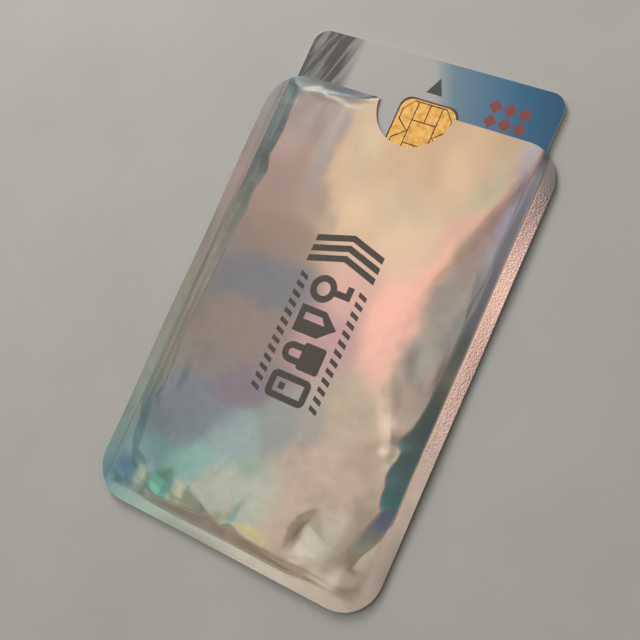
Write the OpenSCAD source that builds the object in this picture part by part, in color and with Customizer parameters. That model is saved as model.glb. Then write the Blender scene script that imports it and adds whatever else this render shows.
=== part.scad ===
// Foil shielding sleeve for one bank card, lying on its back with the card pushed most of the way in.
// Origin: centre of the flat resting face of the back panel. +X right, +Y towards the mouth, +Z up.
// Millimetres and degrees.

/* [Card] */
// Width of the card
card_w = 53.98; // [50:0.01:56]
// Length of the card
card_l = 85.6; // [82:0.1:88]
// Radius of the card's corners
card_r = 3.18; // [2.5:0.01:4]
// Thickness of each clear outer layer of the card
overlay_t = 0.05; // [0.04:0.01:0.08]
// Thickness of each printed core sheet of the card
sheet_t = 0.25; // [0.2:0.01:0.3]
// Thickness of the middle sheet that carries the antenna
inlay_t = 0.16; // [0.14:0.01:0.24]
// How far the card stands out of the mouth
card_out = 10.4; // [2:0.1:20]
// How far the card lies to the right of the middle
card_shift = 0.2; // [0:0.05:0.3]

/* [Pocket] */
// Play beside the card on each side
side_play = 0.86; // [0.7:0.01:1.5]
// Pocket length beyond the card's length
end_play = 2.6; // [1.5:0.1:6]
// Least gap between the card's long edges and the walls that rise beside them
wall_gap = 0.1; // [0.05:0.01:0.2]
// Gap between the card and the back panel under it
under_gap = 0.05; // [0.03:0.01:0.1]
// Gap between the card and the front panel along the pocket's edges
edge_gap = 0.05; // [0.03:0.01:0.15]
// Depth of the tray that the back panel forms round the card
tray_depth = 0.75; // [0.5:0.05:0.9]

/* [Panels] */
// Width of the side seals
side_seal_w = 3.3; // [2.5:0.1:5]
// Width of the bottom seal
bottom_seal_w = 3.2; // [2.5:0.1:5]
// Radius of the pouch's corners
corner_r = 7.6; // [6.5:0.1:8]
// Thickness of the holographic outer film
film_t = 0.05; // [0.04:0.01:0.08]
// Thickness of the aluminium foil
foil_t = 0.02; // [0.02:0.005:0.04]
// Thickness of the heat-sealable liner
liner_t = 0.08; // [0.06:0.01:0.12]

/* [Front form] */
// Rise of the front panel above the card in the middle of the pouch
crown_h = 1.44; // [0.6:0.02:2.4]
// Rise of the front panel above the card at the mouth
mouth_h = 0.26; // [0.1:0.02:0.5]
// Width of the steep strip along the pocket's edges
steep_w = 2.5; // [2:0.1:4]
// Width of the left slope, from the pocket's edge to its crease
left_slope_w = 4; // [3.5:0.1:8]
// Width of the right slope where it is widest
right_slope_w = 14.5; // [8:0.5:15]
// Width of the right slope at its ends
right_slope_end_w = 4; // [3.5:0.1:6]
// Width of the slope above the bottom seal
bottom_slope_w = 7; // [5:0.5:10]
// Height of the puckers above the bottom seal
pucker_h = 0.16; // [0:0.02:0.24]
// Number of puckers across the pocket
pucker_count = 5; // [2:1:6]

/* [Thumb notch] */
// Radius of the half-round notch in the front panel
notch_r = 8; // [6:0.1:9]
// How far the notch lies to the right of the middle
notch_shift = 0.2; // [0:0.05:0.5]

/* [Front print] */
// Thickness of the ink
ink_t = 0.02; // [0.01:0.005:0.03]
// Middle of the print along the pouch
print_y = 1.3; // [-4:0.1:4]
// Width of a printed line
stroke_w = 1.3; // [0.8:0.1:1.5]
// Width of each printed sign, along the pouch
sign_w = 5.4; // [4.5:0.1:5.8]
// Height of each printed sign, across the pouch
sign_h = 8.6; // [7:0.1:9]
// Gap between neighbouring parts of the print
print_gap = 1.2; // [0.8:0.1:1.5]
// Height of the slanted bars beside the signs
bar_h = 1.8; // [1:0.1:2]
// Width of one slanted bar
bar_w = 0.9; // [0.5:0.1:1.1]
// Spacing of the slanted bars
bar_pitch = 1.9; // [1.6:0.1:3]
// Number of chevrons at the end of the print
chevron_count = 3; // [2:1:3]
// Spacing of the chevrons
chevron_pitch = 2.1; // [1.8:0.1:2.4]

/* [Chip module] */
// Width of the contact plate
chip_w = 11.8; // [11.4:0.1:12.2]
// Length of the contact plate
chip_l = 13; // [12.6:0.1:13.4]
// Radius of the contact plate's corners
chip_r = 2.5; // [1.5:0.1:2.8]
// Distance from the card's end to the middle of the chip
chip_from_end = 15.06; // [14:0.01:17]
// Distance from the card's right edge to the middle of the chip
chip_from_side = 24.5; // [23:0.1:26]
// Spacing of the contact pads
pad_pitch = 2.54; // [2.4:0.01:2.6]
// Width of the gaps between the contact pads
pad_gap = 0.22; // [0.15:0.01:0.3]
// Thickness of the contacts
contact_t = 0.035; // [0.03:0.005:0.05]
// Thickness of the carrier tape
tape_t = 0.11; // [0.08:0.01:0.12]
// Thickness of the glue ring
glue_t = 0.04; // [0.03:0.01:0.06]
// Play of the module in its pocket, on each side
module_play = 0.05; // [0.03:0.01:0.1]
// Width and length of the resin over the die
resin_w = 7.8; // [7:0.1:8.2]
// Depth of the resin under the tape
resin_t = 0.4; // [0.35:0.01:0.42]
// Width of the die
die_w = 2.6; // [1.5:0.1:4]
// Length of the die
die_l = 2.2; // [1.5:0.1:4]
// Thickness of the die
die_t = 0.15; // [0.1:0.01:0.2]

/* [Antenna] */
// Number of turns of the coil
coil_turns = 4; // [2:1:5]
// Distance from the card's edge to the outer turn
coil_margin = 3.4; // [3.3:0.1:3.6]
// Spacing of the turns
coil_pitch = 0.7; // [0.6:0.05:0.7]
// Width of the coil's track
track_w = 0.35; // [0.2:0.05:0.4]
// Thickness of the coil's track
track_t = 0.04; // [0.03:0.005:0.05]
// Radius of the two bumps that join the coil to the module
bump_r = 0.6; // [0.4:0.05:0.7]
// Distance of each bump from the chip's middle line
bump_x = 2.2; // [1:0.1:3]

/* [Back of the card] */
// Width of the magnetic stripe
stripe_w = 12.7; // [8:0.1:13]
// Distance from the card's edge to the magnetic stripe
stripe_margin = 2.9; // [2.5:0.1:5]
// Width of the signature panel
signature_w = 9; // [6:0.5:10]
// Length of the signature panel
signature_l = 66; // [40:1:70]
// Gap between the magnetic stripe and the signature panel
signature_gap = 4; // [2:0.5:6]
// Depth to which the stripe and the panel are let in
back_mark_t = 0.02; // [0.01:0.005:0.03]

/* [Hidden] */
$fn = 48;
eps = 0.001;

// Outline of the pouch and of its pocket
half_w = card_w / 2 + side_play + side_seal_w;
half_l = (card_l + end_play + bottom_seal_w) / 2;
pocket_x = card_w / 2 + side_play;
pocket_y = bottom_seal_w - half_l;
arc_x = half_w - corner_r;
arc_y = half_l - corner_r;

// Heights
laminate_t = film_t + foil_t + liner_t;
seam_z = laminate_t + tray_depth;
card_t = 2 * overlay_t + 2 * sheet_t + inlay_t;
card_z = laminate_t + under_gap;
edge_rise = card_z + card_t + edge_gap - seam_z;
print_z = seam_z + edge_rise + crown_h + laminate_t;

// Width of the wall that rises beside the card, in front of it and behind it
wall_w = side_play - card_shift - wall_gap;

// Print: signs, then chevrons, with a row of bars on each side of the signs
sign_count = 4;
signs_l = sign_count * (sign_w + print_gap);
chevron_point = 2.2;
print_l = signs_l + (chevron_count - 1) * chevron_pitch + stroke_w + chevron_point;
print_w = sign_h + 2 * (print_gap + bar_h);

// Flat field under the print, and the belt below the notch
field_margin = 0.4;
field_x = max(print_w / 2, notch_r + notch_shift) + field_margin;
field_y0 = print_y - print_l / 2 - field_margin;
field_y1 = print_y + print_l / 2 + field_margin;
belt_margin = 6;
belt_y = half_l - notch_r - belt_margin;

// Grid: flange columns per side, columns of the slopes, and rows
flange_steps = 4;
notch_steps = 10;
seal_rows = 1;
mouth_rows = 4;
corner_strip = 1;

function clamp01(t) = min(1, max(0, t));
function lerp(a, b, t) = a + (b - a) * t;
function ramp(t) = sin(90 * clamp01(t));
function ease(t) = (1 - cos(180 * clamp01(t))) / 2;

// Half length of the pouch at x, round its corners
function edge_y(x) = arc_y + sqrt(max(0, pow(corner_r, 2) - pow(max(0, abs(x) - arc_x), 2)));

// Depth of the thumb notch at x
function notch_depth(x) = sqrt(max(0, pow(notch_r, 2) - pow(x - notch_shift, 2)));

// Columns of the flange, from the pocket's edge outwards, evenly spaced round the corner
arc_start = acos((pocket_x - arc_x) / corner_r);
flange_cols = [for (k = [1 : flange_steps]) arc_x + corner_r * cos(arc_start * (1 - k / flange_steps))];

// Columns of the front pocket, by distance from its edge
front_slope = [0, wall_w, steep_w / 2, steep_w, left_slope_w];
front_body = [for (k = [1 : 3]) lerp(left_slope_w, pocket_x - field_x, k / 3)];
notch_cols = [for (k = [0 : notch_steps]) notch_shift - notch_r * cos(180 * k / notch_steps)];
front_side = [for (d = concat(front_slope, front_body)) pocket_x - d];
front_pocket_cols = concat(mirrored(front_side), notch_cols, reversed(front_side));
front_cols = concat(mirrored(reversed(flange_cols)), front_pocket_cols, flange_cols);

// Columns of the back pocket
back_side = [for (d = [0, wall_w / 2, wall_w, steep_w, left_slope_w]) pocket_x - d];
back_pocket_cols = concat(mirrored(back_side), [0], reversed(back_side));
back_cols = concat(mirrored(reversed(flange_cols)), back_pocket_cols, flange_cols);

function reversed(list) = [for (k = [len(list) - 1 : -1 : 0]) list[k]];
function mirrored(list) = [for (v = list) -v];

// Rows from the pocket's bottom edge to the belt below the notch
front_rows = concat(
    [for (d = [0, wall_w, steep_w / 2, steep_w, bottom_slope_w]) pocket_y + d],
    [for (k = [1 : 3]) lerp(pocket_y + bottom_slope_w, field_y0, k / 3)],
    [lerp(field_y0, field_y1, 0.5), field_y1, (field_y1 + belt_y) / 2, belt_y]);
back_rows = [pocket_y, pocket_y + wall_w / 2, pocket_y + wall_w, field_y0, belt_y];

// Profile of a slope: steep at the pocket's edge, even up to the crease, then a gentle crown
steep_share = 0.5;
even_share = 0.36;
function slope_profile(d, crease, field) =
    steep_share * ramp(d / steep_w) + even_share * clamp01(d / crease)
    + (1 - steep_share - even_share) * ramp((d - crease) / (field - crease));

// The crease of the right slope swings inwards, furthest just above the middle of the pouch
crease_y = 8;
crease_reach = 34;
function right_crease(y) =
    lerp(right_slope_end_w, right_slope_w, ease(1 - abs(y - crease_y) / crease_reach));

// Share of the crown along the pouch
function length_profile(y) =
    y < field_y0
        ? slope_profile(y - pocket_y, bottom_slope_w, field_y0 - pocket_y)
        : lerp(1, mouth_h / crown_h, ease((y - field_y1) / (half_l - field_y1)));

// Puckers fade out between the bottom slope and the print
function pucker(x, y) =
    pucker_h * sin(360 * pucker_count * (x + pocket_x) / (2 * pocket_x))
    * ramp((y - pocket_y) / steep_w) * (1 - ease((y - pocket_y) / (field_y0 - pocket_y)))
    * ramp((pocket_x - abs(x)) / left_slope_w);

function crown(x, y) =
    let (d = pocket_x - abs(x), crease = x > 0 ? right_crease(y) : left_slope_w)
    crown_h * slope_profile(d, crease, pocket_x - field_x) * length_profile(y) + pucker(x, y);

// 0 on the flange, 1 past the wall that rises beside the card
function inside(x, y) =
    ease((pocket_x - abs(x)) / wall_w) * ease((y - pocket_y) / wall_w);
function in_pocket(x, y) = abs(x) < pocket_x - eps && y > pocket_y + eps;

// Inner surfaces of the two panels
function front_z(x, y) = seam_z + (in_pocket(x, y) ? edge_rise * inside(x, y) + crown(x, y) : 0);
function back_z(x, y) = seam_z - (in_pocket(x, y) ? tray_depth * inside(x, y) : 0);

// The y of each grid point in one column. Rows are straight in the pocket and follow the outline.
function column_rows(x, rows, notched, sealed, top_rows) =
    let (flange = abs(x) > pocket_x + eps,
         y0 = -edge_y(x),
         y1 = flange ? y0 + corner_strip : pocket_y,
         y3 = edge_y(x) - (notched ? notch_depth(x) : 0))
    concat(
        sealed ? [for (k = [0 : seal_rows - 1]) lerp(y0, y1, k / seal_rows)] : [],
        [for (y = rows) lerp(y1, belt_y, (y - pocket_y) / (belt_y - pocket_y))],
        [for (k = [1 : top_rows]) lerp(belt_y, y3, k / top_rows)]);

// Two triangles on each cell of a grid, facing up or down
function cell_faces(a, b, c, d, up) = up ? [[a, b, c], [a, c, d]] : [[a, c, b], [a, d, c]];

// One ply of a panel: the grid's surface at two offsets from the panel's inner surface
module ply(cols, rows, front, sealed, low, high) {
    top_rows = front ? mouth_rows : 1;
    grid = [for (x = cols) column_rows(x, rows, front, sealed, top_rows)];
    nx = len(cols);
    ny = len(grid[0]);
    sheet = nx * ny;
    function z_at(x, y) = front ? front_z(x, y) : back_z(x, y);
    points = [for (offset = [low, high]) for (i = [0 : nx - 1]) for (y = grid[i])
        [cols[i], y, z_at(cols[i], y) + offset]];
    skins = [for (s = [0, 1]) for (i = [0 : nx - 2]) for (j = [0 : ny - 2])
        let (a = s * sheet + i * ny + j)
        each cell_faces(a, a + 1, a + ny + 1, a + ny, s == 1)];
    rim = concat(
        [for (i = [0 : nx - 1]) i * ny],
        [for (j = [1 : ny - 1]) (nx - 1) * ny + j],
        [for (i = [nx - 2 : -1 : 0]) i * ny + ny - 1],
        [for (j = [ny - 2 : -1 : 1]) j]);
    edges = [for (k = [0 : len(rim) - 1])
        let (p = rim[k], q = rim[(k + 1) % len(rim)])
        each cell_faces(p, p + sheet, q + sheet, q, true)];
    polyhedron(points, concat(skins, edges));
}

module front_ply(sealed, low, high) {
    ply(sealed ? front_cols : front_pocket_cols, front_rows, true, sealed, low, high);
}

module back_ply(sealed, low, high) {
    ply(sealed ? back_cols : back_pocket_cols, back_rows, false, sealed, low, high);
}

module front_liner() {
    color("gainsboro") front_ply(false, 0, liner_t);
}

module front_shield_foil() {
    color("silver") front_ply(true, liner_t, liner_t + foil_t);
}

module front_outer_film() {
    color("rosybrown") front_ply(true, liner_t + foil_t, laminate_t);
}

module back_liner() {
    color("gainsboro") back_ply(false, -liner_t, 0);
}

module back_shield_foil() {
    color("silver") back_ply(true, -liner_t - foil_t, -liner_t);
}

module back_outer_film() {
    color("slategray") back_ply(true, -laminate_t, -liner_t - foil_t);
}

// The fused liner of both panels, between the foils of the flange
module seal_strip() {
    translate([0, 0, seam_z - liner_t]) linear_extrude(2 * liner_t) children();
}

module side_seal_outline() {
    xs = concat([pocket_x], flange_cols);
    polygon(concat([for (x = xs) [x, -edge_y(x)]], [for (x = reversed(xs)) [x, edge_y(x)]]));
}

module right_seal() {
    color("burlywood") seal_strip() side_seal_outline();
}

module left_seal() {
    color("burlywood") seal_strip() mirror([1, 0]) side_seal_outline();
}

module bottom_seal() {
    color("burlywood") seal_strip() polygon(concat(
        [for (x = front_pocket_cols) [x, -edge_y(x)]],
        [[pocket_x, pocket_y], [-pocket_x, pocket_y]]));
}

// Print. It reads along the pouch: u runs towards the mouth and v towards the left edge.
bar_lean = 0.7;

// Rounded rectangle about the origin, with true arcs
module rounded_rect(w, h, r) {
    square([w - 2 * r, h], center = true);
    square([w, h - 2 * r], center = true);
    for (sx = [-1, 1], sy = [-1, 1]) translate([sx * (w / 2 - r), sy * (h / 2 - r)]) circle(r);
}

module card_sign() {
    difference() {
        rounded_rect(sign_w, sign_h, stroke_w);
        square([sign_w - 2 * stroke_w, sign_h - 2 * stroke_w], center = true);
    }
    translate([0, sign_h / 6]) square([stroke_w, stroke_w], center = true);
}

module padlock_sign() {
    body_h = 0.55 * sign_h;
    bow_r = (sign_w - stroke_w) / 2;
    bow_y = sign_h / 2 - bow_r;
    translate([0, (body_h - sign_h) / 2]) rounded_rect(sign_w, body_h, stroke_w / 2);
    difference() {
        union() {
            translate([0, bow_y]) circle(bow_r);
            translate([-bow_r, body_h - sign_h / 2]) square([2 * bow_r, bow_y + sign_h / 2 - body_h]);
        }
        translate([0, bow_y]) circle(bow_r - stroke_w);
        translate([stroke_w - bow_r, -sign_h]) square([2 * (bow_r - stroke_w), bow_y + sign_h]);
    }
}

module shield_sign() {
    shoulder = sign_h / 2;
    waist = -sign_h / 8;
    inner_x = sign_w / 2 - stroke_w;
    difference() {
        polygon([[-sign_w / 2, shoulder], [sign_w / 2, shoulder], [sign_w / 2, waist],
            [0, -shoulder], [-sign_w / 2, waist]]);
        polygon([[0, shoulder - stroke_w], [inner_x, shoulder - stroke_w],
            [inner_x, waist + stroke_w / 3], [0, 2 * stroke_w - shoulder]]);
    }
}

module key_sign() {
    bow_r = sign_w / 2;
    translate([0, sign_h / 2 - bow_r]) difference() {
        circle(bow_r);
        circle(bow_r - stroke_w);
    }
    translate([-stroke_w / 2, -sign_h / 2]) square([stroke_w, sign_h - 2 * bow_r + stroke_w / 2]);
    translate([0, -sign_h / 2]) square([1.6 * stroke_w, stroke_w]);
}

module slanted_bar() {
    polygon([[0, 0], [bar_w, 0], [bar_w + bar_lean, bar_h], [bar_lean, bar_h]]);
}

module chevron() {
    polygon([[0, -print_w / 2], [stroke_w, -print_w / 2], [stroke_w + chevron_point, 0],
        [stroke_w, print_w / 2], [0, print_w / 2], [chevron_point, 0]]);
}

module at_sign(k) {
    translate([k * (sign_w + print_gap) + sign_w / 2, 0]) children();
}

module front_print() {
    bar_count = floor((signs_l - print_gap - bar_w - bar_lean) / bar_pitch) + 1;
    color("dimgray") translate([0, print_y, print_z]) rotate(90) linear_extrude(ink_t)
        translate([-print_l / 2, 0]) {
            at_sign(0) card_sign();
            at_sign(1) padlock_sign();
            at_sign(2) shield_sign();
            at_sign(3) key_sign();
            for (k = [0 : bar_count - 1], v = [-print_w / 2, print_w / 2 - bar_h])
                translate([k * bar_pitch, v]) slanted_bar();
            for (k = [0 : chevron_count - 1]) translate([signs_l + k * chevron_pitch, 0]) chevron();
        }
}

// Card. Local origin: middle of the card's back face.
chip_x = card_w / 2 - chip_from_side;
chip_y = card_l / 2 - chip_from_end;
back_sheet_z = overlay_t;
inlay_z = back_sheet_z + sheet_t;
front_sheet_z = inlay_z + inlay_t;
front_overlay_z = front_sheet_z + sheet_t;
contact_z = card_t - contact_t;
tape_z = contact_z - tape_t;
glue_z = tape_z - glue_t;
resin_z = tape_z - resin_t;
resin_r = 1.5;
resin_gap = 0.2;
floor_gap = 0.03;
cavity_w = resin_w + 2 * resin_gap;
cavity_z = resin_z - floor_gap;
bridge_gap = 0.03;
coil_z = inlay_z + (inlay_t - bridge_gap) / 2 - track_t;
bridge_z = coil_z + track_t + bridge_gap;
bump_y = chip_y + (chip_l + cavity_w) / 4;

module on_card() {
    translate([card_shift, half_l + card_out - card_l / 2, card_z]) children();
}

module card_layer(z, t) {
    translate([0, 0, z]) linear_extrude(t) rounded_rect(card_w, card_l, card_r);
}

module at_chip(z) {
    translate([chip_x, chip_y, z]) children();
}

module module_outline(play) {
    rounded_rect(chip_w + 2 * play, chip_l + 2 * play, chip_r + play);
}

// What is milled out of the card for the chip module
module module_pocket() {
    at_chip(glue_z) linear_extrude(card_t) module_outline(module_play);
    at_chip(cavity_z) linear_extrude(card_t) rounded_rect(cavity_w, cavity_w, resin_r + resin_gap);
}

module bump_pair(z0, z1) {
    for (s = [-1, 1]) translate([chip_x + s * bump_x, bump_y, z0]) cylinder(h = z1 - z0, r = bump_r);
}

module card_front_overlay() {
    color("lightsteelblue") on_card() difference() {
        card_layer(front_overlay_z, overlay_t);
        module_pocket();
    }
}

module card_front_sheet() {
    color("steelblue") on_card() difference() {
        card_layer(front_sheet_z, sheet_t);
        module_pocket();
        bump_pair(0, card_t);
    }
}

module card_inlay() {
    color("whitesmoke") on_card() difference() {
        card_layer(inlay_z, inlay_t);
        module_pocket();
        bump_pair(coil_z + track_t, card_t);
        coil_shape();
    }
}

module card_back_sheet() {
    color("white") on_card() difference() {
        card_layer(back_sheet_z, sheet_t);
        module_pocket();
    }
}

// Marks let into the card's back: the stripe beside one long edge, then the signature panel
stripe_x = card_w / 2 - stripe_margin - stripe_w;
signature_x = stripe_x - signature_gap - signature_w;

module stripe_outline() {
    intersection() {
        rounded_rect(card_w, card_l, card_r);
        translate([stripe_x, -card_l / 2]) square([stripe_w, card_l]);
    }
}

module signature_outline() {
    translate([signature_x, -signature_l / 2]) square([signature_w, signature_l]);
}

module card_back_overlay() {
    color("aliceblue") on_card() difference() {
        card_layer(0, overlay_t);
        translate([0, 0, -overlay_t]) linear_extrude(overlay_t + back_mark_t) {
            stripe_outline();
            signature_outline();
        }
    }
}

module magnetic_stripe() {
    color("saddlebrown") on_card() linear_extrude(back_mark_t) stripe_outline();
}

module signature_panel() {
    color("ivory") on_card() linear_extrude(back_mark_t) signature_outline();
}

// Antenna: a rectangular spiral of straight tracks, its outer end brought in over a bridge
function turn_x(k) = card_w / 2 - coil_margin - k * coil_pitch;
function turn_y(k) = card_l / 2 - coil_margin - k * coil_pitch;
coil_path = concat(
    [[chip_x + bump_x, turn_y(0)]],
    [for (k = [0 : coil_turns - 1]) each [
        [turn_x(k), turn_y(k)], [turn_x(k), -turn_y(k)],
        [-turn_x(k), -turn_y(k)], [-turn_x(k), turn_y(k + 1)]]],
    [[chip_x - bump_x, turn_y(coil_turns)], [chip_x - bump_x, bump_y]]);
bridge_end_y = turn_y(coil_turns) - 2 * track_w;

// Straight track between two points on one row or one column
module track(a, b) {
    translate([min(a[0], b[0]) - track_w / 2, min(a[1], b[1]) - track_w / 2])
        square([abs(a[0] - b[0]) + track_w, abs(a[1] - b[1]) + track_w]);
}

module coil_shape() {
    outer_end = coil_path[0];
    bridge_end = [outer_end[0], bridge_end_y];
    translate([0, 0, coil_z]) linear_extrude(track_t) {
        for (k = [0 : len(coil_path) - 2]) track(coil_path[k], coil_path[k + 1]);
        track(bridge_end, [outer_end[0], bump_y]);
    }
    translate([0, 0, bridge_z]) linear_extrude(track_t) track(outer_end, bridge_end);
    for (p = [outer_end, bridge_end])
        translate([p[0] - track_w / 2, p[1] - track_w / 2, coil_z])
            cube([track_w, track_w, bridge_z - coil_z + track_t]);
}

module antenna_coil() {
    color("peru") on_card() coil_shape();
}

module coil_bumps() {
    color("darkkhaki") on_card() bump_pair(coil_z + track_t, tape_z);
}

module chip_tape() {
    color("olive") on_card() at_chip(tape_z) linear_extrude(tape_t) module_outline(0);
}

module chip_adhesive() {
    color("khaki") on_card() difference() {
        at_chip(glue_z) linear_extrude(glue_t) difference() {
            module_outline(0);
            rounded_rect(cavity_w, cavity_w, resin_r + resin_gap);
        }
        bump_pair(0, card_t);
    }
}

module die_block() {
    at_chip(tape_z - die_t) translate([-die_w / 2, -die_l / 2, 0]) cube([die_w, die_l, die_t]);
}

module chip_die() {
    color("darkslategray") on_card() die_block();
}

module chip_resin() {
    color("black") on_card() difference() {
        at_chip(resin_z) linear_extrude(resin_t) rounded_rect(resin_w, resin_w, resin_r);
        die_block();
    }
}

// Contact plate: a middle pad, three pads in each corner's reach, and a rim with two pointed wings
pad_row_y = 2.35;
rim_w = 0.7;
wing_y = 1.9;
half_gap = pad_gap / 2;
wing_tip_x = pad_pitch + 3 * half_gap;
pads_x = chip_w / 2 - rim_w;
pads_y = chip_l / 2 - rim_w / 2;
bend_x = chip_w / 2 - chip_r;
bend_y = chip_l / 2 - chip_r;

module middle_pad() {
    square([2 * (pad_pitch - half_gap), 2 * (pad_row_y - half_gap)], center = true);
}

module inner_pad() {
    translate([half_gap, pad_row_y + half_gap])
        square([pad_pitch - pad_gap, pads_y - pad_row_y - pad_gap]);
}

module outer_pad() {
    polygon([[pad_pitch + half_gap, half_gap], [wing_tip_x - half_gap, half_gap],
        [pads_x - half_gap, wing_y + pad_gap], [pads_x - half_gap, bend_y],
        [bend_x, pads_y - half_gap], [pad_pitch + half_gap, pads_y - half_gap]]);
}

// Outline of the rim's inner edge on one side, from the bottom up
rim_side = [[bend_x, -pads_y - half_gap], [pads_x + half_gap, -bend_y],
    [pads_x + half_gap, -wing_y], [wing_tip_x, 0], [pads_x + half_gap, wing_y],
    [pads_x + half_gap, bend_y], [bend_x, pads_y + half_gap]];

module contact_rim() {
    difference() {
        module_outline(0);
        polygon(concat(rim_side, [for (p = reversed(rim_side)) [-p[0], p[1]]]));
    }
}

module chip_contacts() {
    color("goldenrod") on_card() at_chip(contact_z) linear_extrude(contact_t) {
        middle_pad();
        for (sx = [0, 1], sy = [0, 1]) mirror([sx, 0]) mirror([0, sy]) {
            inner_pad();
            outer_pad();
        }
        contact_rim();
    }
}

front_outer_film();
front_shield_foil();
front_liner();
back_outer_film();
back_shield_foil();
back_liner();
left_seal();
right_seal();
bottom_seal();
front_print();
card_front_overlay();
card_front_sheet();
card_inlay();
antenna_coil();
card_back_sheet();
card_back_overlay();
magnetic_stripe();
signature_panel();
chip_contacts();
chip_tape();
chip_adhesive();
chip_die();
chip_resin();
coil_bumps();
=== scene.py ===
# Foil card sleeve with one bank card in it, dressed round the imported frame.
# Lengths in the dictionaries are millimetres in the frame's own axes. mm turns them into metres.
import math
import bpy
import numpy as np
from mathutils import Matrix, Vector


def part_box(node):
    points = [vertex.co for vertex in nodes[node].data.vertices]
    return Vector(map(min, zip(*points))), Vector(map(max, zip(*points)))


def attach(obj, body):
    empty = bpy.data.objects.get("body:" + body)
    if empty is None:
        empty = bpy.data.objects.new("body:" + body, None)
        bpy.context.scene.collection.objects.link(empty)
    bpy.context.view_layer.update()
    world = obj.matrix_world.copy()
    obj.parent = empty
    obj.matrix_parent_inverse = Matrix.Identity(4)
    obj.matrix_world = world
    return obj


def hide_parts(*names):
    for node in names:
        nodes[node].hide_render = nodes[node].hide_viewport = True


mm = 0.001
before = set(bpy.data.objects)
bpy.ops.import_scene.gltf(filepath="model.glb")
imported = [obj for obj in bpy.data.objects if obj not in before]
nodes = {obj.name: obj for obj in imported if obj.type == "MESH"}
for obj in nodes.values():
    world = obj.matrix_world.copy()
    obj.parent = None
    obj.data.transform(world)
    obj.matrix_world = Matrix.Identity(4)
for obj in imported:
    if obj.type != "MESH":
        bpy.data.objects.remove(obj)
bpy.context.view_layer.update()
scene = bpy.context.scene
bpy.ops.object.select_all(action="DESELECT")
print("frame loaded,", len(nodes), "nodes")


def boxOf(node):
    low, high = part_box(node)
    return [v / mm for v in low], [v / mm for v in high]


filmHigh = boxOf("front_outer_film")[1]
linerLow, linerHigh = boxOf("front_liner")
sealLow, sealHigh = boxOf("right_seal")
printLow, printHigh = boxOf("front_print")
chipLow, chipHigh = boxOf("chip_contacts")

# The pouch's outline and plies, as the frame has them
pouch = {
    "halfWidth": filmHigh[0],
    "halfLength": filmHigh[1],
    "pocketX": linerHigh[0],
    "pocketY": linerLow[1],
    "seam": (sealLow[2] + sealHigh[2]) / 2,
    "cornerRadius": 7.6,
    "notchRadius": 8,
    "notchShift": 0.2,
    "film": 0.05,      # thickness of each ply
    "foil": 0.02,
    "liner": 0.08,
    "wall": 0.56,      # width of the wall beside the card
    "edgeRise": 0.11,  # what the front panel clears the card's edge by
    "tray": 0.75,      # depth of the back panel's tray
    "crown": 1.4,      # rise of the front panel above the card
    "skirtX": 28.2,    # where the front panel leaves the seals
    "skirtY": -43.2,
    "skirtFoot": 1.8,  # width over which it rises to clear the card
}
halfW, halfL, pocketX, pocketY = (pouch[k] for k in ("halfWidth", "halfLength", "pocketX", "pocketY"))
skirtX, skirtY, seam = (pouch[k] for k in ("skirtX", "skirtY", "seam"))


# Colours and nodes

def linear(code):  # sRGB hex to linear light
    parts = [int(code[i:i + 2], 16) / 255 for i in (1, 3, 5)]
    return tuple(p / 12.92 if p < 0.04045 else ((p + 0.055) / 1.055) ** 2.4 for p in parts) + (1,)


def addNode(tree, kind, settings=None, links=None):  # one node, its settings and what feeds it
    node = tree.nodes.new(kind)
    for name, value in (settings or {}).items():
        if name == "stops":
            bar = node.color_ramp.elements
            while len(bar) > 1:
                bar.remove(bar[-1])
            bar[0].position = value[0][0]
            bar[0].color = linear(value[0][1])
            for place, code in value[1:]:
                bar.new(place).color = linear(code)
        elif isinstance(name, int) or name in node.inputs:
            node.inputs[name].default_value = value
        else:
            setattr(node, name, value)
    for name, source in (links or {}).items():
        tree.links.new(source, node.inputs[name])
    return node.outputs


def calculate(tree, kind, operation, values):  # each value is a constant or a socket
    sockets = {k: v for k, v in enumerate(values) if isinstance(v, bpy.types.NodeSocket)}
    constants = {k: v for k, v in enumerate(values) if k not in sockets}
    return addNode(tree, kind, {"operation": operation, **constants}, sockets)


def maths(tree, operation, *values):
    return calculate(tree, "ShaderNodeMath", operation, values)[0]


def vectorMaths(tree, operation, *values):
    outputs = calculate(tree, "ShaderNodeVectorMath", operation, values)
    return outputs["Value" if operation == "DOT_PRODUCT" else "Vector"]


def remap(tree, value, low, high, first=0, last=1):  # first where the value is low, last where it is high
    settings = {"From Min": low, "From Max": high, "To Min": first, "To Max": last}
    return addNode(tree, "ShaderNodeMapRange", settings, {"Value": value})["Result"]


def fade(tree, value, low, high):  # 0 at low and 1 at high, both in mm
    return remap(tree, value, low * mm, high * mm)


def toned(tree, share, stops):  # a colour from a row of (place, hex) stops
    return addNode(tree, "ShaderNodeValToRGB", {"stops": stops}, {"Fac": share})["Color"]


def overlay(tree, share, under, over, blend="MIX"):  # over laid on under by share, each a socket or a hex
    settings, links = {"data_type": "RGBA", "blend_type": blend}, {0: share}
    for socket, colour in ((6, under), (7, over)):
        if isinstance(colour, str):
            settings[socket] = linear(colour)
        else:
            links[socket] = colour
    return addNode(tree, "ShaderNodeMix", settings, links)[2]


def noise(tree, where, size, detail, roughness=0.5):  # its patches are about this many mm across
    settings = {"Scale": 1 / (size * mm), "Detail": detail, "Roughness": roughness}
    return addNode(tree, "ShaderNodeTexNoise", settings, {"Vector": where})


def bumped(tree, height, depth, under=None):  # a relief of this depth in mm, on another if one is given
    links = {"Height": height, "Normal": under} if under else {"Height": height}
    return addNode(tree, "ShaderNodeBump", {"Strength": 1, "Distance": depth * mm}, links)["Normal"]


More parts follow.
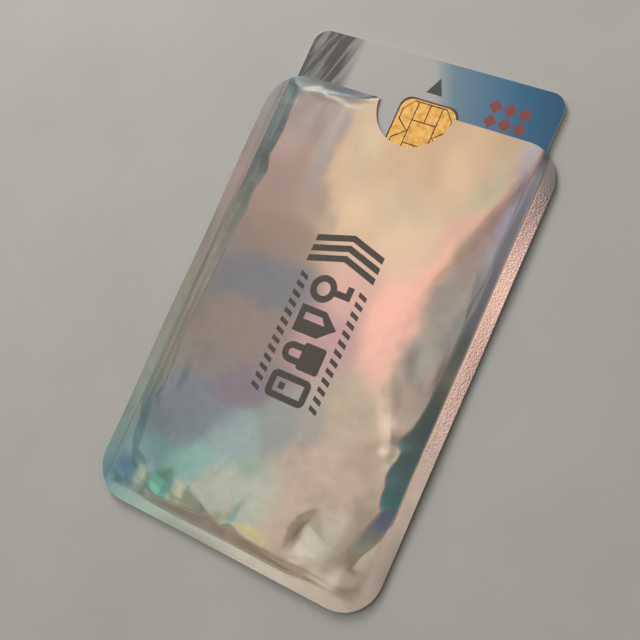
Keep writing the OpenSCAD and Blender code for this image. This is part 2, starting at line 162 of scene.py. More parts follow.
def newMaterial(name, settings):  # a material with a Principled shader, its constants on the sockets
    mat = bpy.data.materials.new(name)
    mat.use_nodes = True
    shader = mat.node_tree.nodes["Principled BSDF"]
    for socket, value in settings.items():
        shader.inputs[socket].default_value = value
    return mat, mat.node_tree, shader


def feed(tree, shader, sources):  # what drives the shader's own sockets
    for socket, source in sources.items():
        tree.links.new(source, shader.inputs[socket])


def paint(obj, mat):
    obj.data.materials.clear()
    obj.data.materials.append(mat)


# Shape of the front panel: a flat crown whose shoulders are creased, with a skirt down to the seals

def ramp(t):  # quick at first and slow at the end
    return np.sin(np.pi / 2 * np.clip(t, 0, 1))


def ease(t):  # slow at both ends
    return (1 - np.cos(np.pi * np.clip(t, 0, 1))) / 2


def through(v, low, high):  # 0 at low, 1 at high
    return (v - low) / (high - low)


# Corners of the shoulder line, where the skirt meets the crown
leftShoulder = [
    (-24.6, 43.0), (-24.3, 42), (-24.3, 37), (-24.0, 33), (-24.4, 29), (-24.6, 27.6), (-23.9, 26.2),
    (-23.4, 24.3), (-23.9, 22.2), (-24.5, 20.4), (-24.5, 18), (-24.2, 16), (-24.7, 13.5), (-25.0, 8),
    (-25.3, 0), (-25.8, -8), (-25.6, -15), (-25.5, -22), (-25.9, -26), (-25.2, -29), (-24.6, -35.6),
]
bottomShoulder = [
    (-22.4, -36.4), (-20.6, -37.6), (-19.4, -39.6), (-18.6, -41.6), (-17, -42.2), (-14, -42.0), (-10, -41.7),
    (-7, -41.4), (-5.2, -40.8), (-4.2, -40.5), (-3.1, -41.1), (-1.2, -41.5), (-0.2, -40.6), (0.6, -40.2),
    (1.8, -40.8), (3, -41.5), (8, -42.0), (12.6, -42.6), (15, -41.4), (17, -39.4), (19.6, -36.6),
]
rightShoulder = [
    (22.8, -35.6), (26.0, -26.9), (26.2, -26.2), (25.6, -25.8), (25, -24), (24.9, -22), (24.2, -20.5),
    (24.4, -18.5), (25, -17), (25.2, -15.3), (23.7, -13.8), (25.3, -11), (25.9, -8), (26.2, -5),
    (26.2, 0), (26.6, 5), (26.5, 10), (27.0, 14), (27.0, 20), (26.5, 24), (26.7, 28), (27.0, 34),
    (26.9, 44.5), (26.9, 47),
]
mouthShoulder = [
    (-7.4, 47), (-8.2, 45.5), (-9.5, 44.8), (-11, 44), (-12.5, 43.5), (-15, 43.1), (-20, 43.2),
    (-22.5, 43.2), (-24, 43.1),
]
shoulderLine = leftShoulder + bottomShoulder + rightShoulder + mouthShoulder
# Corners of the foot line, where the skirt leaves the flat film: both lower corners are pressed flat
footLine = [
    (-28.2, 48), (-28.2, -27), (-27.0, -29.5), (-26.6, -34), (-25.7, -36.0), (-25.6, -38.4), (-25.2, -41.2),
    (-24.0, -43.2), (22.4, -43.2), (24.4, -40.8), (25.0, -37.6), (25.4, -35.6), (27.6, -30.6),
    (28.2, -27.4), (28.2, 48),
]

# Long soft ridges inside the shoulders, as the x of the ridge at each y
rightRidge = [
    (44.5, 26.4), (40, 25.7), (36, 25.1), (32.5, 22.9), (27.5, 20.9), (23.5, 18.9), (19, 17.7), (14, 16.6),
    (9, 15.9), (3, 15.7), (-2, 16.4), (-6, 17.6), (-9.5, 19.4), (-12, 21.3), (-14.5, 22.5), (-17, 18),
    (-22, 14), (-45, 12),
]
leftRidge = [(45, -12.5), (35, -12.3), (30, -11), (25, -9), (20, -6.5), (15, -8), (0, -9), (-45, -9)]
# Share of the crown that the shoulder has at each y
rightHeight = [
    (45, 0.88), (40, 0.78), (30, 0.62), (20, 0.54), (9, 0.53), (0, 0.6), (-8, 0.68), (-14, 0.8), (-26, 0.84),
    (-31, 0.74), (-36, 0.48), (-42, 0.26),
]
leftHeight = [
    (46, 0.6), (43, 1.0), (39, 1.2), (33, 1.0), (20, 0.68), (5, 0.55), (-31, 0.55), (-36, 0.4), (-40, 0.2),
]
# Share of the crown left at the bottom shoulder, at each x
bottomHeight = [
    (-28, 0.1), (-23, 0.14), (-19, 0.3), (-14, 0.44), (-4, 0.52), (2, 0.52), (8, 0.42), (13, 0.22),
    (18, 0.15), (28, 0.2),
]

frontShape = {
    "mouthShare": 0.18,     # share of the crown left at the mouth
    "mouthFrom": 18.8,      # y where the panel starts to come down to it
    "bottomReach": 24,      # length over which it comes up from the bottom seal
    "fieldDip": 0.05,       # the crown sinks a little between its ridges
    "fieldReach": 8,        # width over which it sinks
    "browX": (12, 16),      # a soft brow on the skirt of the lower right corner
    "browY": (-34.5, -37),
    "detailGain": 1.4,      # how soon the details reach full height on the skirt
    "cornerReach": 0.6,     # how soon they do so on the corners that are pressed flat
}
# Skirt left of leftPart, between two heights along y: the rise it has at shares of its width
leftPart = -20
leftProfiles = [
    (6, 43, [0, 0.5, 1], [0, 0.36, 1]),                # a gentle outer half under a steeper one
    (-28, 6, [0, 0.25, 0.35, 1], [0, 0.24, 0.24, 1]),  # a flat bead beside the seal
]

# Folds: a crease from one point to another, its reach to the left and right of that direction, its height
folds = [
    {"from": (-21.4, -42.0), "to": (-20.2, -35.2), "left": 1.5, "right": 1.8, "high": 0.1},
    {"from": (-16.8, -42.2), "to": (-15.2, -35.6), "left": 3.0, "right": 1.4, "high": -0.15},
    {"from": (-12.9, -41.8), "to": (-11.9, -35.0), "left": 2.2, "right": 1.4, "high": 0.12},
    {"from": (-1.4, -42.0), "to": (-1.2, -30.0), "left": 2.4, "right": 0.6, "high": 0.05},
    {"from": (13.5, -42.5), "to": (27.0, -42.6), "left": 0.6, "right": 0.5, "high": 0.06},
    {"from": (-0.3, -41.6), "to": (1.6, -33.8), "left": 1.2, "right": 1.6, "high": -0.09},
    {"from": (15.1, -30.2), "to": (11.6, -40.8), "left": 5.0, "right": 2.1, "high": -0.22, "peak": 0.5},
    {"from": (19.4, -43.0), "to": (21.4, -28.5), "left": 3.4, "right": 3.4, "high": 0.05},
    {"from": (-7.6, -34.0), "to": (-4.2, -27.8), "left": 1.8, "right": 1.0, "high": 0.07},
    {"from": (-13.3, 43.0), "to": (-12.2, 24.0), "left": 2.4, "right": 1.6, "high": 0.04},
    {"from": (-18.5, 42.5), "to": (-19.5, 18.0), "left": 3.0, "right": 3.5, "high": 0.06},
    {"from": (-24.8, 42.8), "to": (-7.0, 44.8), "left": 0.7, "right": 1.8, "high": 0.12},
    {"from": (21.5, -11.5), "to": (16.0, 0.0), "left": 2.4, "right": 1.8, "high": 0.06},
    {"from": (26.0, 43.0), "to": (15.8, 10.0), "left": 2.6, "right": 1.8, "high": 0.07},
]
foldPeak = 0.35   # share of a fold's length at which it is highest, if the fold says nothing else
foldBlunt = 1.4   # above 1, the fold keeps its full height for a while

# Facets: flat-sided dimples and peaks, each with its tip, its height and the corners of its foot
facets = [
    {"tip": (-10.2, -37.8), "high": 0.15,
     "foot": [(-11.8, -40.8), (-11.0, -36.8), (-9.6, -36.4), (-5.0, -40.0), (-5.6, -41.2), (-10.0, -41.8)]},
    {"tip": (-24.8, -39.0), "high": -0.14,
     "foot": [(-27.6, -40.8), (-26.6, -36.8), (-25.6, -36.5), (-22, -39.2), (-22.2, -39.9), (-24.6, -41)]},
    {"tip": (-4.3, -40.6), "high": 0.16,
     "foot": [(-5.6, -41.4), (-8.6, -37.6), (-3.4, -31.5), (-1.6, -38.0), (-2.2, -41.8)]},
    {"tip": (5.0, -41.4), "high": 0.14,
     "foot": [(0.8, -40.6), (3.4, -38.4), (6.4, -38.9), (9.4, -41.2), (9.0, -42.1), (2.4, -41.7)]},
    {"tip": (24.9, -37.8), "high": -0.12,
     "foot": [(24.4, -38.4), (25.2, -36.8), (26.2, -36.8), (25.8, -38.4)]},
    {"tip": (26.0, -40.6), "high": -0.14,
     "foot": [(22.8, -41.3), (24.6, -40.4), (27.0, -39.1), (26.9, -41.5), (24.4, -41.9)]},
    {"tip": (25.6, 13.0), "high": 0.1,
     "foot": [(22.8, 9.0), (24.4, 20.0), (26.8, 18.0), (26.6, 9.0)]},
    {"tip": (-24.6, -21.0), "high": 0.14,
     "foot": [(-25.6, -13.0), (-24.2, -12.4), (-22.6, -19.0), (-23.4, -27.0), (-25.2, -26.0)]},
]

# Smooth oval dents and bumps
dents = [
    {"at": (21.4, 0.8), "reach": (3.2, 4.8), "turn": 8, "high": -0.13},
    {"at": (25.0, 0.0), "reach": (1.6, 5.0), "turn": 0, "high": 0.08},
    {"at": (22.6, -16.6), "reach": (2.2, 2.6), "turn": 0, "high": 0.13},
    {"at": (-22.5, -19.0), "reach": (2.2, 5.0), "turn": 0, "high": -0.1},
]
# Long waves of the loose film: length along x and y, start angle, height
waves = [(37, 21, 0.4, 0.035), (-19, 29, 2.1, 0.03), (13, -17, 4.0, 0.014), (9, 11, 1.2, 0.007)]
# Slow curl of the free flange, about its own width
flange = {"curl": 0.16, "waveLength": 38, "slant": 0.7, "start": 0.6}


def reachTo(x, y, line):  # distance to a line through some corners
    best = np.full(x.shape, 1e9)
    for (x0, y0), (x1, y1) in zip(line, line[1:]):
        dx, dy = x1 - x0, y1 - y0
        t = np.clip(((x - x0) * dx + (y - y0) * dy) / (dx * dx + dy * dy), 0, 1)
        best = np.minimum(best, np.hypot(x - x0 - t * dx, y - y0 - t * dy))
    return best


def within(x, y, line):  # which points a closed line holds
    held = np.zeros(x.shape, bool)
    for (x0, y0), (x1, y1) in zip(line, line[1:] + line[:1]):
        crosses = (y0 > y) != (y1 > y)
        if y1 != y0:
            held ^= crosses & (x < x0 + (y - y0) / (y1 - y0) * (x1 - x0))
    return held


def alongLine(y, line):  # the value that a list of (place, value) has at each place
    rising = sorted(line)
    return np.interp(y, [p[0] for p in rising], [p[1] for p in rising])


def foldHeight(x, y, fold):
    (x0, y0), (x1, y1) = fold["from"], fold["to"]
    length = math.hypot(x1 - x0, y1 - y0)
    ux, uy = (x1 - x0) / length, (y1 - y0) / length
    u = ((x - x0) * ux + (y - y0) * uy) / length
    v = (y - y0) * ux - (x - x0) * uy
    peak = fold.get("peak", foldPeak)
    along = np.clip(foldBlunt * np.minimum(u / peak, (1 - u) / (1 - peak)), 1e-3, 1)
    across = 1 - np.where(v > 0, v / fold["left"], -v / fold["right"]) / along
    return fold["high"] * along * np.clip(across, 0, 1)


def facetHeight(x, y, facet):
    share = np.full(x.shape, 1e9)
    (tipX, tipY), foot = facet["tip"], facet["foot"]
    for (x0, y0), (x1, y1) in zip(foot, foot[1:] + foot[:1]):
        away = (x - x0) * (y1 - y0) - (y - y0) * (x1 - x0)
        tipAway = (tipX - x0) * (y1 - y0) - (tipY - y0) * (x1 - x0)
        share = np.minimum(share, away / tipAway)
    return facet["high"] * np.clip(share, 0, 1)


def dentHeight(x, y, dent):
    turn = math.radians(dent["turn"])
    px, py = x - dent["at"][0], y - dent["at"][1]
    u = (px * math.cos(turn) + py * math.sin(turn)) / dent["reach"][0]
    v = (py * math.cos(turn) - px * math.sin(turn)) / dent["reach"][1]
    return dent["high"] * ease(1 - np.hypot(u, v))


def flangeCurl(x, y):
    out = np.hypot(np.maximum(np.abs(x) - pocketX, 0), np.maximum(pocketY - y, 0))
    share = (out / (halfW - pocketX)) ** 2
    swing = np.sin((x * flange["slant"] + y) * 2 * np.pi / flange["waveLength"] + flange["start"])
    return flange["curl"] * share * swing


def skirtShare(x, y):  # 0 at the foot line, 1 at the shoulder line
    foot = np.minimum(reachTo(x, y, footLine), np.maximum(halfL - y, 0))
    foot = np.where(within(x, y, footLine), foot, 0)
    away = reachTo(x, y, shoulderLine + shoulderLine[:1])
    share = np.where(within(x, y, shoulderLine), 1, foot / (foot + away + 1e-6))
    brow = ramp(through(x, *frontShape["browX"])) * ramp(through(y, *frontShape["browY"]))
    share = share + brow * share * (1 - share)
    for low, high, places, rises in leftProfiles:
        inside = (x < leftPart) & (y > low) & (y <= high)
        share = np.where(inside, np.interp(share, places, rises), share)
    return share


def crownShape(x, y):  # the crown without its skirt, as a share of its full height
    shoulderR = alongLine(y, [(q, p) for p, q in rightShoulder])
    shoulderL = alongLine(y, [(q, p) for p, q in leftShoulder])
    ridgeR, ridgeL = alongLine(y, rightRidge), alongLine(y, leftRidge)
    heightR, heightL = alongLine(y, rightHeight), alongLine(y, leftHeight)
    rightSide = heightR + (1 - heightR) * np.clip(through(x, shoulderR, ridgeR), 0, 1)
    leftSide = heightL + (1 - heightL) * ramp(through(x, shoulderL, ridgeL))
    side = np.where(x > 0, rightSide, leftSide)
    reach = frontShape["fieldReach"]
    dip = frontShape["fieldDip"] * ease((x - ridgeL) / reach) * ease((ridgeR - x) / reach)
    lowShare = alongLine(x, bottomHeight)
    bottom = lowShare + (1 - lowShare) * ramp((y - pocketY) / frontShape["bottomReach"])
    mouth = ease(through(y, frontShape["mouthFrom"], halfL))
    return (side - dip) * bottom * (1 + (frontShape["mouthShare"] - 1) * mouth)


def frontInner(x, y):  # inner face of the front panel
    skirt = skirtShare(x, y)
    rise = pouch["crown"] * crownShape(x, y) * skirt
    detail = 0
    for heightOf, pieces in ((foldHeight, folds), (dentHeight, dents), (facetHeight, facets)):
        detail = detail + sum(heightOf(x, y, piece) for piece in pieces)
    for alongX, alongY, start, high in waves:
        detail = detail + high * np.sin(2 * np.pi * (x / alongX + y / alongY) + start)
    clear = np.clip((skirtX - np.abs(x)) / pouch["skirtFoot"], 0, 1)
    clear = clear * np.clip((y - skirtY) / pouch["skirtFoot"], 0, 1)
    corner = np.clip(reachTo(x, y, footLine) / frontShape["cornerReach"], 0, 1)
    corner = np.where(within(x, y, footLine), 0, corner)
    rise = rise + detail * np.clip(skirt * frontShape["detailGain"] + corner * clear, 0, 1)
    return seam + pouch["edgeRise"] * clear + np.maximum(rise, 0) + flangeCurl(x, y)


def backInner(x, y):  # inner face of the back panel
    sunk = ease((pocketX - np.abs(x)) / pouch["wall"]) * ease((y - pocketY) / pouch["wall"])
    return seam - pouch["tray"] * sunk + flangeCurl(x, y)


# Modelling

meshing = {
    "cornerSteps": 28,
    "notchSides": 128,
    "punchHeight": 4,
    "smoothUnder": 50,  # degrees
    "cutReach": 1e-4,
    "weldReach": 1e-3,
}


def editMode(obj):
    bpy.ops.object.select_all(action="DESELECT")
    obj.select_set(True)
    bpy.context.view_layer.objects.active = obj
    bpy.ops.object.mode_set(mode="EDIT")


def objectMode():
    bpy.ops.object.mode_set(mode="OBJECT")
    bpy.ops.object.select_all(action="DESELECT")


def pick(obj, kind, wanted):  # leaves obj in edit mode with the wanted faces or edges selected
    editMode(obj)
    bpy.ops.mesh.select_mode(type=kind)
    bpy.ops.mesh.select_all(action="DESELECT")
    bpy.ops.object.mode_set(mode="OBJECT")
    elements = obj.data.polygons if kind == "FACE" else obj.data.edges
    for element in elements:
        element.select = wanted(element)
    bpy.ops.object.mode_set(mode="EDIT")


def dropFaces(obj, unwanted):
    pick(obj, "FACE", unwanted)
    bpy.ops.mesh.delete(type="FACE")
    objectMode()


def sliceMesh(obj, columns, rows):  # cuts along x and y, at millimetres
    editMode(obj)
    for axis, places in ((0, columns), (1, rows)):
        for place in places:
            cut, way = [0, 0, 0], [0, 0, 0]
            cut[axis], way[axis] = place * mm, 1
            bpy.ops.mesh.select_all(action="SELECT")
            bpy.ops.mesh.bisect(plane_co=cut, plane_no=way, threshold=meshing["cutReach"] * mm)
    objectMode()


def cutLines(spans):  # evenly spaced cuts over stretches of (start, end, step)
    lines = []
    for start, end, step in spans:
        count = max(1, round((end - start) / step))
        lines += [start + (end - start) * k / count for k in range(count)]
    return lines[1:]


def makeBlank(name, grid, notched):  # the pouch's outline as one flat sheet of small cells
    bpy.ops.mesh.primitive_cube_add(size=1)
    blank = bpy.context.active_object
    blank.name = name
    blank.scale = (2 * halfW * mm, 2 * halfL * mm, 2 * mm)
    bpy.ops.object.transform_apply(location=True, rotation=True, scale=True)

    def upright(edge):
        low, high = sorted(blank.data.vertices[k].co.z for k in edge.vertices)
        return high - low > mm

    pick(blank, "EDGE", upright)
    bpy.ops.mesh.bevel(offset=pouch["cornerRadius"] * mm, segments=meshing["cornerSteps"], affect="EDGES")
    objectMode()
    if notched:
        bpy.ops.mesh.primitive_cylinder_add(
            vertices=meshing["notchSides"], radius=pouch["notchRadius"] * mm,
            depth=meshing["punchHeight"] * mm, location=(pouch["notchShift"] * mm, halfL * mm, 0))
        punch = bpy.context.active_object
        bite = blank.modifiers.new("notch", "BOOLEAN")
        bite.operation = "DIFFERENCE"
        bite.object = punch
        bpy.context.view_layer.objects.active = blank
        bpy.ops.object.modifier_apply(modifier=bite.name)
        bpy.data.objects.remove(punch)
    dropFaces(blank, lambda face: face.normal.z < 0.5)
    sliceMesh(blank, cutLines(grid["columns"]), cutLines(grid["rows"]))
    return blank


def settle(obj, height):  # gives each point the height(x, y, z), in millimetres
    points = np.empty(len(obj.data.vertices) * 3)
    obj.data.vertices.foreach_get("co", points)
    points = points.reshape(-1, 3)
    points[:, 2] = height(*points.T / mm) * mm
    obj.data.vertices.foreach_set("co", points.ravel())
    obj.data.update()


def makePly(name, blank, height, thick, keep=None):  # a copy of the blank, settled and given its wall
    ply = blank.copy()
    ply.data = blank.data.copy()
    ply.name = name
    scene.collection.objects.link(ply)
    if keep:
        dropFaces(ply, lambda face: not keep(face.center.x / mm, face.center.y / mm))
    settle(ply, height)
    editMode(ply)
    bpy.ops.mesh.select_all(action="SELECT")
    bpy.ops.mesh.extrude_region_move(TRANSFORM_OT_translate={"value": (0, 0, -thick * mm)})
    bpy.ops.mesh.select_all(action="SELECT")
    bpy.ops.mesh.normals_make_consistent(inside=False)
    objectMode()
    ply.select_set(True)
    bpy.context.view_layer.objects.active = ply
    bpy.ops.object.shade_smooth_by_angle(angle=math.radians(meshing["smoothUnder"]))
    bpy.ops.object.select_all(action="DESELECT")
    return ply


def wear(piece, node, mat):  # the piece stands for a node of the sleeve
    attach(piece, "sleeve")
    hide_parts(node)
    paint(piece, mat)


# Cells of the two blanks: stretches of (start, end, step) along x and y
wallX, wallY = pocketX - pouch["wall"], pocketY + pouch["wall"]
frontGrid = {
    "columns": [
        (-halfW, -skirtX, 0.6), (-skirtX, -pocketX, 0.18), (-pocketX, -21.5, 0.29), (-21.5, 21.5, 0.5),
        (21.5, pocketX, 0.29), (pocketX, skirtX, 0.18), (skirtX, halfW, 0.6),
    ],
    "rows": [
        (-halfL, skirtY, 0.62), (skirtY, pocketY, 0.18), (pocketY, -30, 0.28), (-30, 42, 0.5),
        (42, halfL, 0.31),
    ],
}
backGrid = {
    "columns": [
        (-halfW, -pocketX, 0.8), (-pocketX, -wallX, 0.09), (-wallX, wallX, 1.5), (wallX, pocketX, 0.09),
        (pocketX, halfW, 0.8),
    ],
    "rows": [(-halfL, pocketY, 0.8), (pocketY, wallY, 0.09), (wallY, halfL, 1.5)],
}


# Materials

# Colours of the front film where it lies flat: the grating's pastels from the way it lies to the light, with
# painted highlights and painted shade laid in.
# Each spot: x and y of its middle, its reach across and along, its turn in degrees and its colour.
filmSpotsWithPaintedLight = [
    # Gold field under the mouth, brightened with a broad painted highlight
    (4, 36, 12, 10, 0, "#BD9E80"), (13, 37, 4.5, 6.5, 0, "#D8B999"),
    (-6.4, 19, 1.6, 2.2, 30, "#AA988B"), (-5, 36, 4, 8, 10, "#C1AD92"), (6, 27, 9, 8, 0, "#CAB498"),
    (9, 20, 7, 5, 20, "#DABB9F"), (-2, 20.6, 6, 4, 40, "#D6B899"),
    # Rose ridge down the right of the field: a painted pink highlight along the ridge
    (20, 34, 2.6, 6, -18, "#BCAE94"), (21, 31, 1.4, 10, -28, "#D2A594"),
    (16.5, 17, 1.4, 8, -12, "#EAB4A3"), (15.2, 2, 1.1, 7, 4, "#E9B4A4"),
    (19, -10.5, 0.8, 4, 38, "#D8BBA8"), (12.6, 6.8, 2.9, 6.5, 0, "#F0B8A6"),
    (12.2, 14.5, 2.6, 3, 0, "#DEBAA0"),
    # Middle of the field
    (4, 10, 4, 6, 0, "#D3A99C"), (3, -2, 5, 5, 20, "#BC9896"),
    # Grey shoulder on the right, darker as painted shade where it turns from the light, with two painted
    # glints at its tips
    (24.5, 36, 1.2, 6, -12, "#AC948E"), (22.9, 25, 1.6, 5, -20, "#A8928C"),
    (22.4, 12, 2.2, 6, 0, "#A2968C"), (25.5, 33, 1.4, 10, 0, "#A6A2AE"),
    (25.2, 10, 1.9, 8, 0, "#8F8C87"), (21.6, 1, 1.8, 3.2, 10, "#A49F90"),
    (24.6, 0, 1.4, 4, 0, "#A6958B"), (22.4, -7, 2, 2.2, 0, "#B3A193"),
    (21, -11.4, 1.6, 1.6, 38, "#E4CDB8"), (24, -17.4, 1.2, 2.6, 0, "#D4C5B0"),
    # Lower right field and corner, with a small painted glint and a pale painted highlight on the gentle
    # slope at the foot
    (13, -13, 6, 5, 0, "#B9AA95"), (20, -19, 4, 4, 0, "#B8A18E"), (22.6, -16.4, 1.1, 1.2, 0, "#E6D2BC"),
    (14, -25, 8, 7, 0, "#C4AC9C"), (18, -35, 5, 5, 0, "#DAD0C0"), (21.5, -38.5, 2, 3, 0, "#D8C8B6"),
    (16.4, -40.9, 2.4, 1.2, 20, "#F0DEC8"), (23, -27.5, 2, 4, 0, "#AC9B8B"),
    (9, -35, 3, 6, 0, "#CDB6A4"),
    # Green, yellow and pale tucks over the bottom seal, and the lower left corner
    (3, -34, 4, 5, -20, "#BCC0AE"), (5, -40.2, 3.4, 0.9, -6, "#CFC08A"),
    (0.6, -37.6, 0.5, 2.6, -16, "#86B0AE"), (-16.8, -39, 1.6, 1.8, 0, "#76B8A2"),
    (-21.2, -38.6, 1, 1.8, 0, "#E4E2CC"), (-25, -39, 2.2, 1.6, 0, "#5F7E8C"),
    # Pressed lower right corner, and folds over the bottom seal: the corner's darker patch, its two small
    # dark dimples and the grey-brown flank of the dent are painted shade
    (25.2, -39.4, 2.2, 3.6, 0, "#AE9D8C"), (25.2, -37.4, 0.8, 0.8, 0, "#756D62"),
    (25.6, -40.7, 1.5, 0.8, 20, "#777567"), (12.6, -36.2, 0.9, 2.4, -14, "#8F8577"),
    (-13.2, -39, 1, 2, 0, "#C8C8AE"), (-5, -35, 4, 4, 20, "#B8BAA8"),
    # Grey and green middle of the lower field
    (2, -20, 5, 5, 30, "#959794"), (8.3, -17.5, 2.2, 7, 0, "#A29B90"), (0, -29, 2.4, 2.4, 0, "#98A99B"),
    (-6, -26, 4, 5, -35, "#98AAA8"), (-13, -33, 7, 2.4, 24, "#94B8AE"), (-20, -36, 3, 3, 0, "#86A4A8"),
    (-8.4, -39.2, 2.6, 1.3, -18, "#9FA48E"),
    # Grey and brown bands down the left, kept darker as painted shade
    (-17, -24, 6, 6, 0, "#7D8388"), (-8, -16, 7, 3, 30, "#867880"), (-18, -14, 5, 3, 0, "#8B8079"),
    (-14, -6, 8, 4, 5, "#8F7F76"), (-13, 4, 8, 4.5, 5, "#7B7A7D"), (-12.6, 14, 6.5, 4, 20, "#927E71"),
    (-19, 26, 4, 6, 0, "#988279"), (-19, 38, 4, 5, 0, "#8B7D76"), (-13, 32, 1.4, 9, 4, "#938A85"),
    (-9, 22, 2.5, 4, 25, "#9F8A7C"),
    # Left skirt, the mouth's lip darkened as painted shade, and a thin painted highlight along the crest of
    # the rim
    (-27, 30, 0.9, 13, 0, "#92978A"), (-26.2, 43.6, 2, 1.8, 0, "#5E6567"),
    (-17, 45.4, 8, 1, 4, "#565B5C"), (-17.5, 43.3, 6.5, 0.36, 2, "#B2AC9C"),
]

filmFinish = {
    "metal": 0.85,
    "keen": 3.2,                 # how sharply one spot gives way to the next
    "drift": 9,                  # size of the slow drift that bends the patches
    "driftReach": 2.6,
    "flangeFade": (-0.9, 0.3),   # how far past the skirt's foot the flange's own colours come in
    "lowFade": (-2, 3),          # how far past a corner's diagonal the bottom flange's colours come in
    "mild": (0.05, 0.14),        # slopes at which the patches take the mild tints, with their painted shade
    "steep": (0.13, 0.22),       # slopes at which the skirt's colours, with their painted shade, come in
    "rightFade": (-0.05, 0.05),  # lean to the right at which the right skirt's colours come in
    "bottomFade": (0.06, -0.1),  # lean to the mouth at which the bottom skirt's give way
    "haze": 2.2,                 # size of the patches of uneven gloss
    "rough": (0.3, 0.4),
    "crinkle": 1.1,              # size and depth of the fine orange peel of the laminate
    "crinkleDepth": 0.006,
    "crimp": 0.36,               # size and depth of the cells pressed into the right flange
    "crimpDepth": 0.07,
    "crimpSide": (28.55, 28.8),  # where the crimp sets in across the flange, and at its two ends
    "crimpLow": (-21, -13),
    "crimpHigh": (40, 37),
    "sealLine": -28.9,           # a groove that the sealing bar leaves down the left flange
    "sealReach": 0.4,
    "sealDepth": 0.045,
}
hazeRoughness = 0.6
mottleSpan = (0.3, 0.7)     # the part of its range that a noise fills in practice
mottleStops = (0.35, 0.65)  # where a mottle is fully dark and fully light
# Tint of a mild slope by the way it faces, from left round by bottom, right and mouth: the grating's hue
# shift and painted shade that darkens the slope
mildTintsWithShade = [
    (0.0, "#DDE8EC"), (0.125, "#D8F0E6"), (0.25, "#ECE6D4"), (0.37, "#DED6C8"), (0.5, "#E2DAD4"),
    (0.62, "#DEDAE4"), (0.75, "#CED2D8"), (0.87, "#DCEAE6"), (1.0, "#DDE8EC"),
]
# Colours along the steep skirt, with painted shade where it turns from the light, darkest near the mouth,
# and along the flange: sides from the bottom up, bottom from left to right
skirtColoursWithShade = {
    "left": [
        (0.05, "#9CB8BC"), (0.1, "#8FB0B0"), (0.17, "#7C9EA4"), (0.3, "#B4AEA0"), (0.5, "#BAAEA2"),
        (0.67, "#9DA194"), (0.78, "#80817F"), (0.94, "#616E78"), (0.985, "#33383B"),
    ],
    "right": [
        (0.1, "#C6C4B4"), (0.165, "#B8B8AA"), (0.185, "#A8A8C0"), (0.21, "#A0A8C0"), (0.23, "#74A89E"),
        (0.27, "#7C989A"), (0.4, "#7A8A86"), (0.47, "#929488"), (0.5, "#AAA89C"), (0.54, "#9AA096"),
        (0.58, "#9AA098"), (0.64, "#BCB8C0"), (0.93, "#C6C2CE"), (0.98, "#77767E"),
    ],
    "bottom": [
        (0.06, "#6C96A8"), (0.14, "#C0D0C6"), (0.28, "#DAD4C0"), (0.5, "#E6D0BA"), (0.68, "#F2DAC0"),
        (0.9, "#E4D2BA"),
    ],
}
flangeColours = {
    "left": [(0.0, "#5E8691"), (0.2, "#8B948B"), (0.5, "#8A8379"), (0.75, "#978680"), (0.95, "#807E7C")],
    "right": [
        (0.05, "#B4A394"), (0.3, "#BCA799"), (0.5, "#DCB9AC"), (0.7, "#E4BBAC"), (0.85, "#B0968C"),
        (0.95, "#847B78"),
    ],
    "bottom": [(0.05, "#7A9E9C"), (0.22, "#B0C0B2"), (0.5, "#C9C6B6"), (0.76, "#C7B8A6"), (0.95, "#BAAA9A")],
}


def framed(tree, spot, stops, rightShare, lowShare):  # a colour that runs along the three closed sides
    along = {}
    for side, axis, reach in (("left", "Y", halfL), ("right", "Y", halfL), ("bottom", "X", halfW)):
        along[side] = toned(tree, fade(tree, spot[axis], -reach, reach), stops[side])
    sides = overlay(tree, rightShare, along["left"], along["right"])
    return overlay(tree, lowShare, sides, along["bottom"])


